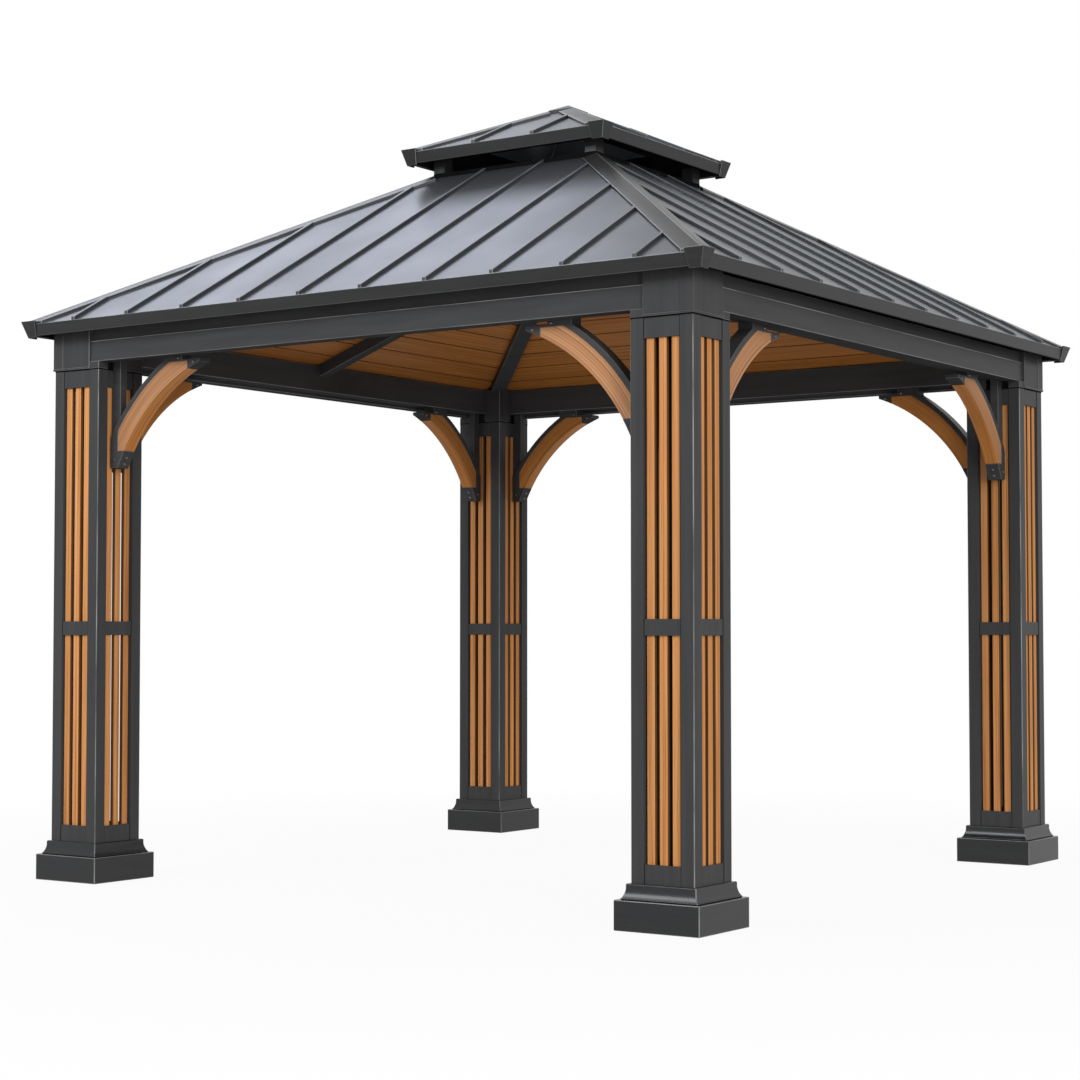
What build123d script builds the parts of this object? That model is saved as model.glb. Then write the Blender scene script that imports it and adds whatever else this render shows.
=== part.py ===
from build123d import *
from math import cos, hypot, radians, sqrt, tan
import os

# Square open gazebo with a two-tier standing-seam roof, in millimetres.
# The origin lies at ground level on the centre line, +Z is up and the front side faces -Y.
# Distances called "half" or "reach" run from the centre line square out to one side.

# Plan of the posts
post_span = 3170.0
post_width = 260.0
stile_width = 54.0
plinth_width = 350.0

# Plinths
plinth_height = 108.0
mould_height = 56.0
mould_foot_margin = 28.0
mould_top_margin = 14.0
mould_toe = 10.0
mould_lip_height = 13.0
mould_lip_proud = 6.0
mould_cove_radius = 36.0

# Post frames and their slats
post_height = 1999.0
bottom_rail_height = 69.0
mid_rail_height = 58.0
mid_rail_rise = 871.0
top_rail_height = 77.0
rail_recess = 2.0
rail_thickness = 8.0
slat_width = 36.0
slat_thickness = 28.0
slat_gap = 16.0
slats_per_face = 3

# Corner blocks and beams
block_width = 206.0
block_proud = 3.0
pad_height = 29.0
beam_height = 138.0
beam_face_height = 88.0
beam_setback = 8.0
beam_step = 8.0
beam_depth = 154.0
beam_flange = 62.0
beam_recess = 14.0

# Arched braces
brace_reach = 505.0
brace_drop = 450.0
brace_rise = 64.0
brace_depth = 98.0
brace_width = 64.0
brace_setback = 73.0
brace_strip = 22.0
brace_flange = 7.0
brace_foot = 70.0
brace_tip = 66.0
brace_tip_height = 14.0
brace_pad_height = 14.0
brace_pad_length = 108.0
brace_pad_inset = 98.0
brace_bar_width = 36.0
brace_bar_depth = 42.0
brace_fit = 0.3

# Main roof
roof_pitch = 29.3
roof_sheet = 10.0
fascia_overhang = 80.0
fascia_flare = 12.0
fascia_height = 51.0
fascia_lap = 19.0
fascia_lip = 8.0
fascia_wall = 6.0
fascia_return = 16.0
rib_pitch = 310.0
rib_width = 18.0
rib_height = 15.0
roof_ribs = 10
hip_cap_width = 120.0
hip_cap_height = 12.0
seam_fit = 0.3
mitre_gap = 0.5

# Corner caps of both eaves
corner_cap_length = 70.0
corner_cap_proud = 3.0
corner_cap_flare = 6.0
corner_cap_rise = 12.0
corner_cap_drop = 8.0
corner_cap_taper = 10.0

# Ceiling and the rafters that show below it
ceiling_pitch = 19.8
ceiling_sheet = 12.0
ceiling_seat = 20.0
mid_rafter_width = 60.0
mid_rafter_depth = 60.0
hip_rafter_width = 75.0
hip_rafter_depth = 40.0

# Cupola
well_width = 860.0
well_wall = 50.0
well_lap = 70.0
well_upstand = 18.0
cupola_post_width = 60.0
cupola_post_height = 71.0
cupola_overhang = 93.0
cupola_pitch = 24.0
cupola_fascia_height = 51.0
cupola_fascia_depth = 45.0
cupola_fascia_flare = 10.0
cupola_eave_rise = 92.0
cupola_ribs = 2
apex_opening = 40.0
apex_cap_width = 130.0
apex_cap_proud = 3.0

# Reaches and levels that follow from the sizes above
post_face = post_span / 2
post_inner = post_face - post_width
block_face = post_face + block_proud
post_centre = post_face - post_width / 2
beam_outer = post_face - beam_setback
beam_inner = beam_outer - beam_depth
slat_recess = rail_recess + rail_thickness
well_half = well_width / 2
cupola_half = well_half + cupola_overhang

plinth_top = plinth_height + mould_height
post_top = plinth_top + post_height
beam_bottom = post_top + pad_height
beam_top = beam_bottom + beam_height
fascia_bottom = beam_top - fascia_lap
fascia_top = fascia_bottom + fascia_height
fascia_foot = post_face + fascia_overhang
fascia_reach = fascia_foot + fascia_flare
eave_reach = fascia_reach - fascia_lip
ceiling_reach = beam_inner + ceiling_seat

quarter = 90.0
side_turns = {"front": 0 * quarter, "right": 1 * quarter, "back": 2 * quarter, "left": 3 * quarter}
corner_turns = {
    "front_right": 0 * quarter,
    "back_right": 1 * quarter,
    "back_left": 2 * quarter,
    "front_left": 3 * quarter,
}
corner_count = len(corner_turns)
crossed_planes = ((Plane.XZ, Mode.ADD), (Plane.YZ, Mode.INTERSECT))
hip_plane = Plane(origin=(0, 0, 0), x_dir=(1, -1, 0), z_dir=(-1, -1, 0))
diagonal = sqrt(2)

os.makedirs("parts", exist_ok=True)


def roof_level(reach):
    """Height of the main roof's upper surface at a distance from the centre."""
    return fascia_top + tan(radians(roof_pitch)) * (eave_reach - reach)


def ceiling_level(reach):
    """Height of the ceiling's lower surface at a distance from the centre."""
    return beam_top + tan(radians(ceiling_pitch)) * (ceiling_reach - reach)


# Levels of the cupola, stacked on the main roof
well_top = roof_level(well_half) + well_upstand
well_bottom = ceiling_level(well_half) - well_lap
plate_bottom = well_top + cupola_post_height
cupola_fascia_top = well_top + cupola_eave_rise
cupola_fascia_bottom = cupola_fascia_top - cupola_fascia_height
cupola_fascia_foot = cupola_half - cupola_fascia_flare
cupola_eave = cupola_half - fascia_lip


def cupola_level(reach):
    """Height of the cupola roof's upper surface at a distance from the centre."""
    return cupola_fascia_top + tan(radians(cupola_pitch)) * (cupola_eave - reach)


def write_each(solid, name, turns):
    """Write one node for each turn of the same piece about the centre line."""
    for place, turn in turns.items():
        with BuildPart() as piece:
            add(solid, rotation=(0, 0, turn))
        piece.part.label = f"{place}_{name}"
        export_step(piece.part, f"parts/{place}_{name}.step")


def write_ring(solid, name):
    """Write one node that holds the same piece at all four turns."""
    with BuildPart() as ring:
        with PolarLocations(0, corner_count):
            add(solid)
    ring.part.label = name
    export_step(ring.part, f"parts/{name}.step")


def sloped_band(level, outer, inner, below, above, setback):
    """Front quarter of a pyramid-shaped layer, mitred at the hips less a setback square to each hip."""
    cut = setback * diagonal
    with BuildPart() as band:
        with BuildSketch(Plane.YZ):
            with BuildLine():
                Polyline(
                    (-outer, level(outer) - below),
                    (-inner, level(inner) - below),
                    (-inner, level(inner) + above),
                    (-outer, level(outer) + above),
                    close=True,
                )
            make_face()
        extrude(amount=outer, both=True)
        with BuildSketch(Plane.XY):
            with BuildLine():
                Polyline(
                    (cut - outer, -outer),
                    (outer - cut, -outer),
                    (inner - cut, -inner),
                    (cut - inner, -inner),
                    close=True,
                )
            make_face()
        extrude(amount=level(inner) + above, mode=Mode.INTERSECT)
    return band.part


def roof_side(level, pitch, outer, inner, rib_count):
    """One sloping side of a roof: a flat sheet with upright seams that stop at the hip caps."""
    sheet_drop = roof_sheet / cos(radians(pitch))
    seam_reach = max(inner, hip_cap_width * diagonal / 2 + rib_width)
    seams = sloped_band(level, outer, seam_reach, sheet_drop, rib_height, hip_cap_width / 2 + seam_fit)
    with BuildPart() as ribs:
        with BuildSketch(Plane.XY):
            with Locations((0, -outer / 2)):
                with GridLocations(rib_pitch, outer, rib_count, 1):
                    Rectangle(rib_width, outer)
        extrude(amount=level(0) + rib_height)
        add(seams, mode=Mode.INTERSECT)
    with BuildPart() as side:
        add(sloped_band(level, outer, inner, sheet_drop, 0, mitre_gap))
        add(ribs.part)
    return side.part


def fascia_length(level, pitch, foot, reach, inner, bottom, top):
    """Front length of an eave fascia: flared face, upstand lip, sloping seat and a return at its foot."""
    sheet_drop = roof_sheet / cos(radians(pitch))
    seat_drop = sheet_drop + fascia_wall
    edge = reach - fascia_lip
    lean = (reach - foot) / (top - bottom)
    cut = mitre_gap * diagonal
    with BuildPart() as fascia:
        with BuildSketch(Plane.YZ):
            with BuildLine():
                Polyline(
                    (-foot, bottom),
                    (-reach, top),
                    (-edge, top),
                    (-edge, level(edge) - sheet_drop),
                    (-inner, level(inner) - sheet_drop),
                    (-inner, level(inner) - seat_drop),
                    (fascia_wall + lean * seat_drop - reach, top - seat_drop),
                    (fascia_wall - foot, bottom + fascia_wall),
                    (fascia_return - foot, bottom + fascia_wall),
                    (fascia_return - foot, bottom),
                    close=True,
                )
            make_face()
        extrude(amount=reach, both=True)
        with BuildSketch(Plane.XY.offset(bottom)):
            with BuildLine():
                Polyline((cut - reach, -reach), (reach - cut, -reach), (0, -cut), close=True)
            make_face()
        extrude(amount=level(inner) - bottom, mode=Mode.INTERSECT)
    return fascia.part


def flared_block(foot, reach, bottom, top):
    """Square block whose four faces lean outwards from foot to reach."""
    with BuildPart() as block:
        for plane, mode in crossed_planes:
            with BuildSketch(plane) as face:
                with BuildLine():
                    Polyline((-foot, bottom), (foot, bottom), (reach, top), (-reach, top), close=True)
                make_face()
            extrude(face.sketch, amount=reach, both=True, mode=mode)
    return block.part


def corner_cap(foot, reach, bottom, top):
    """Folded cap round the front right corner of an eave, narrower at its foot."""
    low = bottom - corner_cap_drop
    high = top + corner_cap_rise
    lean = (reach - foot) / (top - bottom)
    core_foot = foot - lean * corner_cap_drop
    core_reach = reach + lean * corner_cap_rise
    core = flared_block(core_foot, core_reach, low, high)
    shell_reach = core_reach + corner_cap_proud + corner_cap_flare
    shell = flared_block(core_foot + corner_cap_proud, shell_reach, low, high)
    edge = reach - corner_cap_length
    with BuildPart() as cap:
        add(shell)
        add(core, mode=Mode.SUBTRACT)
        with BuildSketch(Plane.XZ):
            with BuildLine():
                Polyline(
                    (edge + corner_cap_taper, low),
                    (reach + corner_cap_length, low),
                    (reach + corner_cap_length, high),
                    (edge, high),
                    close=True,
                )
            make_face()
        extrude(amount=reach + corner_cap_length, both=True, mode=Mode.INTERSECT)
        with BuildSketch(Plane.YZ):
            with BuildLine():
                Polyline(
                    (-edge - corner_cap_taper, low),
                    (-reach - corner_cap_length, low),
                    (-reach - corner_cap_length, high),
                    (-edge, high),
                    close=True,
                )
            make_face()
        extrude(amount=reach + corner_cap_length, both=True, mode=Mode.INTERSECT)
    return cap.part


def roof_mass(level, outer, under, above):
    """Square block from a level under the eave up to a height above a roof's four sides."""
    with BuildPart() as mass:
        for plane, mode in crossed_planes:
            with BuildSketch(plane) as gable:
                with BuildLine():
                    Polyline(
                        (-outer, under),
                        (outer, under),
                        (outer, level(outer) + above),
                        (0, level(0) + above),
                        (-outer, level(outer) + above),
                        close=True,
                    )
                make_face()
            extrude(gable.sketch, amount=outer, both=True, mode=mode)
    return mass.part


def hip_cap(level, outer, inner):
    """Folded cap along the front right hip, seated on the two roof sheets that meet there."""
    under = level(outer) - hip_cap_width
    with BuildPart() as cap:
        with BuildSketch(hip_plane):
            with BuildLine():
                Polyline(
                    (outer * diagonal, level(outer) - hip_cap_width),
                    (outer * diagonal, level(outer) + hip_cap_width),
                    (inner * diagonal, level(inner) + hip_cap_width),
                    (inner * diagonal, level(inner) - hip_cap_width),
                    close=True,
                )
            make_face()
        extrude(amount=hip_cap_width / 2, both=True)
        add(roof_mass(level, outer, under, hip_cap_height), mode=Mode.INTERSECT)
        add(roof_mass(level, outer, under - hip_cap_height, 0), mode=Mode.SUBTRACT)
    return cap.part


# Plinth: a square block with a mould of toe, cove and lip on it
mould_foot = post_width / 2 + mould_foot_margin
mould_head = post_width / 2 + mould_top_margin
mould_lip_level = plinth_top - mould_lip_height
cove_foot = (mould_foot - mould_toe, plinth_height + mould_toe)
cove_head = (mould_head - mould_lip_proud, mould_lip_level)
with BuildPart() as mould:
    for plane, mode in crossed_planes:
        with BuildSketch(plane) as outline:
            with BuildLine():
                RadiusArc((mould_foot, plinth_height), cove_foot, -mould_toe)
                RadiusArc(cove_foot, cove_head, mould_cove_radius)
                Polyline(
                    cove_head,
                    (mould_head, mould_lip_level),
                    (mould_head, plinth_top),
                    (0, plinth_top),
                    (0, plinth_height),
                    (mould_foot, plinth_height),
                )
            make_face()
            mirror(about=Plane.YZ)
        extrude(outline.sketch, amount=plinth_width, both=True, mode=mode)
with BuildPart() as plinth:
    with BuildSketch(Plane((post_centre, -post_centre, 0))):
        Rectangle(plinth_width, plinth_width)
    extrude(amount=plinth_height)
    with Locations((post_centre, -post_centre, 0)):
        add(mould.part)
write_each(plinth.part, "plinth", corner_turns)

# Post frame: four corner stiles joined by rails at the foot, middle and head
rails = (
    (plinth_top, bottom_rail_height),
    (plinth_top + mid_rail_rise, mid_rail_height),
    (post_top - top_rail_height, top_rail_height),
)
rail_outer = post_width - 2 * rail_recess
rail_inner = rail_outer - 2 * rail_thickness
with BuildPart() as post:
    with BuildSketch(Plane((post_centre, -post_centre, plinth_top))):
        with GridLocations(post_width - stile_width, post_width - stile_width, 2, 2):
            Rectangle(stile_width, stile_width)
    extrude(amount=post_height)
    for rail_bottom, rail_height in rails:
        with BuildSketch(Plane((post_centre, -post_centre, rail_bottom))):
            Rectangle(rail_outer, rail_outer)
            Rectangle(rail_inner, rail_inner, mode=Mode.SUBTRACT)
        extrude(amount=rail_height)
write_each(post.part, "post", corner_turns)

# Slats: upright bars behind the rails, between the stiles of each face
slat_pitch = slat_width + slat_gap
slat_spread = post_width - 2 * slat_recess - slat_thickness
with BuildPart() as slats:
    with BuildSketch(Plane((post_centre, -post_centre, plinth_top))):
        with GridLocations(slat_pitch, slat_spread, slats_per_face, 2):
            Rectangle(slat_width, slat_thickness)
        with GridLocations(slat_spread, slat_pitch, 2, slats_per_face):
            Rectangle(slat_thickness, slat_width)
    extrude(amount=post_height)
write_each(slats.part, "post_slats", corner_turns)

# Corner block: outer block, inner block and the two pads that carry the beam ends
inner_block = beam_inner - post_inner
with BuildPart() as corner_block:
    block_side = block_width + block_proud
    block_place = block_face - block_side / 2
    with BuildSketch(Plane((block_place, -block_place, post_top))):
        Rectangle(block_side, block_side)
    extrude(amount=beam_top - post_top)
    inner_place = post_inner + inner_block / 2
    with BuildSketch(Plane((inner_place, -inner_place, post_top))):
        Rectangle(inner_block, inner_block)
    extrude(amount=beam_top - post_top)
    pad_far = post_face - stile_width / 2
    pad_near = post_inner + stile_width / 2
    with BuildSketch(Plane.XY.offset(post_top)):
        with Locations((pad_near, -pad_far), (pad_far, -pad_near)):
            Rectangle(stile_width, stile_width)
    extrude(amount=pad_height)
write_each(corner_block.part, "corner_block", corner_turns)

# Beam: the proud lower face, the recessed band under the eave and a flange along its outer foot
with BuildPart() as beam:
    with BuildSketch(Plane.YZ):
        with BuildLine():
            Polyline(
                (-beam_outer, beam_bottom),
                (-beam_outer, beam_bottom + beam_face_height),
                (beam_step - beam_outer, beam_bottom + beam_face_height),
                (beam_step - beam_outer, beam_top),
                (-beam_inner, beam_top),
                (-beam_inner, beam_bottom + beam_recess),
                (beam_flange - beam_outer, beam_bottom + beam_recess),
                (beam_flange - beam_outer, beam_bottom),
                close=True,
            )
        make_face()
    extrude(amount=post_face - block_width, both=True)
write_each(beam.part, "beam", side_turns)

# Arched brace: timber-look web in an iron that runs along its back, foot and tip
brace_head = brace_pad_height + brace_tip_height
arch_run = brace_reach - brace_bar_depth
arch_height = brace_drop - brace_head
chord = hypot(arch_run, arch_height)
brace_radius = chord**2 / (8 * brace_rise) + brace_rise / 2
arc_shift = (brace_radius - brace_rise) / chord
arc_centre = (
    brace_bar_depth + arch_run / 2 + arch_height * arc_shift,
    -brace_head - arch_height / 2 - arch_run * arc_shift,
)
strip_radius = brace_radius + brace_depth - brace_strip
brace_centre = post_face - brace_setback - brace_width / 2
brace_plane = Plane(origin=(post_inner, -brace_centre, beam_bottom), x_dir=(-1, 0, 0), z_dir=(0, 1, 0))
web_left = brace_bar_depth
web_right = brace_reach - brace_tip
web_low = brace_foot - brace_drop
web_high = -brace_pad_height - brace_flange
web_centre = ((web_left + web_right) / 2, (web_low + web_high) / 2)
web_width = web_right - web_left
web_height = web_high - web_low
with BuildPart() as brace:
    with BuildSketch(brace_plane):
        with Locations(arc_centre):
            Circle(strip_radius - brace_fit)
            Circle(brace_radius, mode=Mode.SUBTRACT)
        with Locations(web_centre):
            Rectangle(web_width - 2 * brace_fit, web_height - 2 * brace_fit, mode=Mode.INTERSECT)
    extrude(amount=brace_width / 2, both=True)
    mirror(about=Plane.YZ)
write_each(brace.part, "braces", side_turns)

rail_drop = pad_height + top_rail_height
iron_height = brace_drop - brace_pad_height
with BuildPart() as brace_iron:
    with BuildSketch(brace_plane):
        with Locations(arc_centre):
            Circle(brace_radius + brace_depth)
            Circle(brace_radius, mode=Mode.SUBTRACT)
        with Locations((brace_reach / 2, -brace_pad_height - iron_height / 2)):
            Rectangle(brace_reach, iron_height, mode=Mode.INTERSECT)
    extrude(amount=brace_width / 2, both=True)
    with BuildSketch(brace_plane):
        with Locations(arc_centre):
            Circle(strip_radius)
        with Locations(web_centre):
            Rectangle(web_width, web_height, mode=Mode.INTERSECT)
    extrude(amount=brace_width / 2, both=True, mode=Mode.SUBTRACT)
    with BuildSketch(brace_plane):
        with Locations((brace_reach - brace_pad_inset - brace_pad_length / 2, (beam_recess + web_high) / 2)):
            Rectangle(brace_pad_length, beam_recess - web_high)
    extrude(amount=brace_width / 2, both=True)
    with BuildSketch(brace_plane):
        with BuildLine():
            Polyline(
                (brace_bar_depth, beam_recess),
                (0, beam_recess),
                (0, 0),
                (-rail_recess, 0),
                (-rail_recess, -rail_drop),
                (-slat_recess, -rail_drop),
                (-slat_recess, -brace_drop),
                (brace_bar_depth, -brace_drop),
                close=True,
            )
        make_face()
    extrude(amount=brace_bar_width / 2, both=True)
    mirror(about=Plane.YZ)
write_ring(brace_iron.part, "brace_irons")

# Rafters: tapered ones under the hips and a shallow one in the middle of each ceiling
hip_drop = roof_sheet / cos(radians(roof_pitch)) + tan(radians(roof_pitch)) * hip_rafter_width / 2 / diagonal
hip_foot = post_face - block_width / 2
hip_head = well_half - hip_rafter_width / 2 / diagonal
with BuildPart() as hip_rafter:
    with BuildSketch(hip_plane):
        with BuildLine():
            Polyline(
                (hip_foot * diagonal, beam_top),
                (hip_foot * diagonal, roof_level(hip_foot) - hip_drop),
                (hip_head * diagonal, roof_level(hip_head) - hip_drop),
                (hip_head * diagonal, ceiling_level(hip_head) - hip_rafter_depth),
                (post_inner * diagonal, beam_top),
                close=True,
            )
        make_face()
    extrude(amount=hip_rafter_width / 2, both=True)
    with BuildSketch(Plane.XY):
        Rectangle(well_width, well_width)
    extrude(amount=roof_level(0), mode=Mode.SUBTRACT)
with BuildPart() as mid_rafter:
    with BuildSketch(Plane.YZ):
        with BuildLine():
            Polyline(
                (-beam_inner, ceiling_level(beam_inner) - mid_rafter_depth),
                (-well_half, ceiling_level(well_half) - mid_rafter_depth),
                (-well_half, ceiling_level(well_half)),
                (-beam_inner, ceiling_level(beam_inner)),
                close=True,
            )
        make_face()
    extrude(amount=mid_rafter_width / 2, both=True)
with BuildPart() as rafter_pair:
    add(hip_rafter.part)
    add(mid_rafter.part)
write_ring(rafter_pair.part, "rafters")

# Ceiling: boarded slopes between the hip rafters
ceiling_rise = ceiling_sheet / cos(radians(ceiling_pitch))
ceiling = sloped_band(
    ceiling_level, ceiling_reach, well_half, 0, ceiling_rise, hip_rafter_width / 2 + mitre_gap)
write_each(ceiling, "ceiling", side_turns)

# Main roof with its hip caps, fascia and corner caps
roof = roof_side(roof_level, roof_pitch, eave_reach, well_half, roof_ribs)
write_each(roof, "roof", side_turns)
write_ring(hip_cap(roof_level, eave_reach, well_half), "hip_caps")
write_ring(
    fascia_length(roof_level, roof_pitch, fascia_foot, fascia_reach, block_face, fascia_bottom, fascia_top),
    "eave_fascia",
)
write_ring(corner_cap(fascia_foot, fascia_reach, fascia_bottom, fascia_top), "eave_corner_caps")

# Well between the ceiling and the cupola, four boards that butt at the corners
with BuildPart() as well:
    board_length = well_width - well_wall - mitre_gap
    with BuildSketch(Plane((well_wall / 2, (well_wall - well_width) / 2, well_bottom))):
        Rectangle(board_length, well_wall)
    extrude(amount=well_top - well_bottom)
write_ring(well.part, "cupola_well")

# Cupola posts on the corners of the well
post_place = well_half - cupola_post_width / 2
with BuildPart() as cupola_post:
    with BuildSketch(Plane((post_place, -post_place, well_top))):
        Rectangle(cupola_post_width, cupola_post_width)
    extrude(amount=cupola_post_height)
write_ring(cupola_post.part, "cupola_posts")

# Cupola plate on the posts, bevelled to the slope of the roof it carries
cupola_sheet_drop = roof_sheet / cos(radians(cupola_pitch))
plate_inner = well_half - cupola_post_width
plate_cut = mitre_gap * diagonal
with BuildPart() as plate:
    with BuildSketch(Plane.YZ):
        with BuildLine():
            Polyline(
                (-well_half, plate_bottom),
                (-plate_inner, plate_bottom),
                (-plate_inner, cupola_level(plate_inner) - cupola_sheet_drop),
                (-well_half, cupola_level(well_half) - cupola_sheet_drop),
                close=True,
            )
        make_face()
    extrude(amount=well_half, both=True)
    with BuildSketch(Plane.XY.offset(plate_bottom)):
        with BuildLine():
            Polyline((plate_cut - well_half, -well_half), (well_half - plate_cut, -well_half),
                     (0, -plate_cut), close=True)
        make_face()
    extrude(amount=cupola_level(0) - plate_bottom, mode=Mode.INTERSECT)
write_ring(plate.part, "cupola_plate")

# Cupola roof with its hip caps, fascia, corner caps and the cap on its apex
apex_half = apex_cap_width / 2
cupola_roof = roof_side(cupola_level, cupola_pitch, cupola_eave, apex_opening / 2, cupola_ribs)
write_ring(cupola_roof, "cupola_roof")
write_ring(hip_cap(cupola_level, cupola_eave, apex_half), "cupola_hip_caps")
cupola_fascia = fascia_length(
    cupola_level,
    cupola_pitch,
    cupola_fascia_foot,
    cupola_half,
    cupola_fascia_foot - cupola_fascia_depth,
    cupola_fascia_bottom,
    cupola_fascia_top,
)
write_ring(cupola_fascia, "cupola_fascia")
write_ring(
    corner_cap(cupola_fascia_foot, cupola_half, cupola_fascia_bottom, cupola_fascia_top),
    "cupola_corner_caps",
)

apex_rise = hip_cap_height + apex_cap_proud
apex_foot = cupola_level(apex_half)
with BuildPart() as apex_cap:
    add(roof_mass(cupola_level, apex_half, apex_foot, apex_rise))
    add(roof_mass(cupola_level, apex_half, apex_foot - apex_rise, 0), mode=Mode.SUBTRACT)
apex_cap.part.label = "apex_cap"
export_step(apex_cap.part, "parts/apex_cap.step")
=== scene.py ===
"""Looks of a square metal gazebo, in metres: finishes, slats, boards, arched braces and small fixings."""
import math
import random

import bmesh
import bpy
from mathutils import Matrix, Vector


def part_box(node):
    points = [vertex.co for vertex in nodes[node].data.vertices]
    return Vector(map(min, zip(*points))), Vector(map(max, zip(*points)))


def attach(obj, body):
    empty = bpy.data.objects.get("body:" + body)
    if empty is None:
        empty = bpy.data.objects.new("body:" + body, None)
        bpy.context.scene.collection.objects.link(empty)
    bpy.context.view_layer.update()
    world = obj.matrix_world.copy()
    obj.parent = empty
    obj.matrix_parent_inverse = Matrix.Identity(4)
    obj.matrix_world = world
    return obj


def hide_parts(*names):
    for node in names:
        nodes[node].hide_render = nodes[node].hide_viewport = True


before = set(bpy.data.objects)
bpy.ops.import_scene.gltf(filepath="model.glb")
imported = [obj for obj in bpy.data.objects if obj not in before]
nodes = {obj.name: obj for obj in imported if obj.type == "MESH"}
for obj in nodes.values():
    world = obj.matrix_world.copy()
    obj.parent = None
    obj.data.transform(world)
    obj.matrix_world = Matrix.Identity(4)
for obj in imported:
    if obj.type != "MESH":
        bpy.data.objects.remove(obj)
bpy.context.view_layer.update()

# Camera of the photograph
camera_place = (5.5727, -8.3238, 1.0458)
camera_lens = 75.0
camera_sensor = 36.0
camera_tilt = 92.354
camera_turn = 34.526

# Light; each softbox has a place, a target, a width and height, a power and a tint
sky_level = 0.68
sky_tint = (0.98, 0.99, 1.0, 1.0)
sun_level = 1.0
sun_softness = 25.0
sun_tilt = 71.0
sun_turn = 57.0
room_middle = (0.0, 0.0, 1.8)
softboxes = {
    "right_strip": ((8.5, -5.7, 1.9), room_middle, (0.9, 3.8), 180.0, (1.0, 1.0, 1.0)),
    "roof_strip": ((-8.75, 4.7, 9.7), (-8.75, 0.0, 1.8), (7.9, 2.6), 222.0, (0.75, 0.81, 1.0)),
    "left_box": ((-3.3, -8.0, 5.4), room_middle, (3.0, 2.4), 305.0, (0.94, 0.97, 1.0)),
}
floor_size = 60.0
floor_share = 0.94
floor_near = 2.4
floor_far = 6.0
white = (1.0, 1.0, 1.0, 1.0)
floor_colour = (0.55, 0.55, 0.55, 1.0)

# Finishes, in linear colour
coat_tones = ((0.0455, 0.0455, 0.0462, 1.0), (0.0545, 0.0545, 0.0556, 1.0))
# Darker copy of the frame's charcoal for the plinths near the ground: painted shade
footing_shaded_tones = ((0.014, 0.0145, 0.0155, 1.0), (0.018, 0.0185, 0.0195, 1.0))
# Darker copy of the frame's charcoal for the fascia, caps and cupola posts: painted shade
fascia_shaded_tones = ((0.0235, 0.0235, 0.0240, 1.0), (0.0285, 0.0285, 0.0290, 1.0))
# Light colours on rounded edges: wear together with painted highlight; level edges take their own fainter
# one
wear_and_highlight_tones = ((0.06, 0.06, 0.06, 1.0), (0.26, 0.26, 0.26, 1.0))
level_wear_and_highlight = (0.085, 0.085, 0.087, 1.0)
# Near-black and without sheen, for the cupola well and plate and the shadow strips: painted shade
painted_shade_tones = ((0.006, 0.006, 0.006, 1.0), (0.010, 0.010, 0.010, 1.0))
sheet_tones = ((0.034, 0.036, 0.041, 1.0), (0.044, 0.047, 0.053, 1.0))
# Light colours on the roof's rounded edges: wear together with painted highlight
sheet_wear_and_highlight_tones = ((0.09, 0.091, 0.094, 1.0), (0.24, 0.242, 0.25, 1.0))
sheet_tint = (0.82, 0.90, 1.0, 1.0)
bolt_colour = (0.13, 0.13, 0.13, 1.0)
slat_tones = ((0.29, 0.107, 0.029, 1.0), (0.51, 0.212, 0.066, 1.0), (0.66, 0.312, 0.115, 1.0))
# Brace woods: a paler, greyer copy for the outer cheeks stands for painted sheen; a deeper copy for the
# rims and inner cheeks stands for painted shade
outer_cheek_sheen_tones = ((0.20, 0.080, 0.030, 1.0), (0.36, 0.165, 0.070, 1.0), (0.48, 0.247, 0.122, 1.0))
rim_shaded_tones = ((0.24, 0.078, 0.012, 1.0), (0.44, 0.165, 0.034, 1.0), (0.58, 0.25, 0.066, 1.0))
# Darker copy of the slats' wood for the ceiling under the roof: painted shade
ceiling_shaded_tones = ((0.15, 0.048, 0.0092, 1.0), (0.30, 0.108, 0.0218, 1.0), (0.42, 0.167, 0.0385, 1.0))
# Share of brightness kept on faces in gaps and on the backs of slats: painted shade
painted_gap_shade_share = 0.28
tone_shares = (0.88, 1.10)

# Repeats of each finish's noise in a metre along each axis, and the noise's detail
upright_streaks = (30.0, 30.0, 1.5)
level_streaks = (3.0, 3.0, 30.0)
wear_and_highlight_patches = (4.0, 4.0, 4.0)
sheet_wear_and_highlight_patches = (5.0, 5.0, 5.0)
painted_shade_patches = (12.0, 12.0, 12.0)
streak_detail = 4.0
sheet_patches = (2.5, 2.5, 2.5)
patch_detail = 3.0
sheet_waves = (3.0, 3.0, 3.0)
wave_detail = 1.0
coat_peel = (900.0, 900.0, 900.0)
peel_detail = 2.0
bolt_wear = (300.0, 300.0, 300.0)
wear_detail = 3.0
wide_grain = (0.5, 120.0, 120.0)
close_grain = (0.5, 240.0, 240.0)
grain_detail = 5.0
grain_distortion = 0.15
fine_grain = (2.5, 320.0, 320.0)
fine_detail = 3.0

# Share of the fine grain in the colour of wood, and how far the grain shifts from member to member
fine_share = 0.5
grain_shift = 9.0
draw_seed = 7

# Parts of a noise that carry a finish's colours, and leans of faces that change it
unit_shares = (0.0, 1.0)
noise_shares = (0.3, 0.7)
streak_shares = (0.32, 0.68)
grain_shares = (0.34, 0.48, 0.64)
upright_shares = (0.25, 0.60)
underside_sheen_shade_shares = (-0.60, -0.25)

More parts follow.
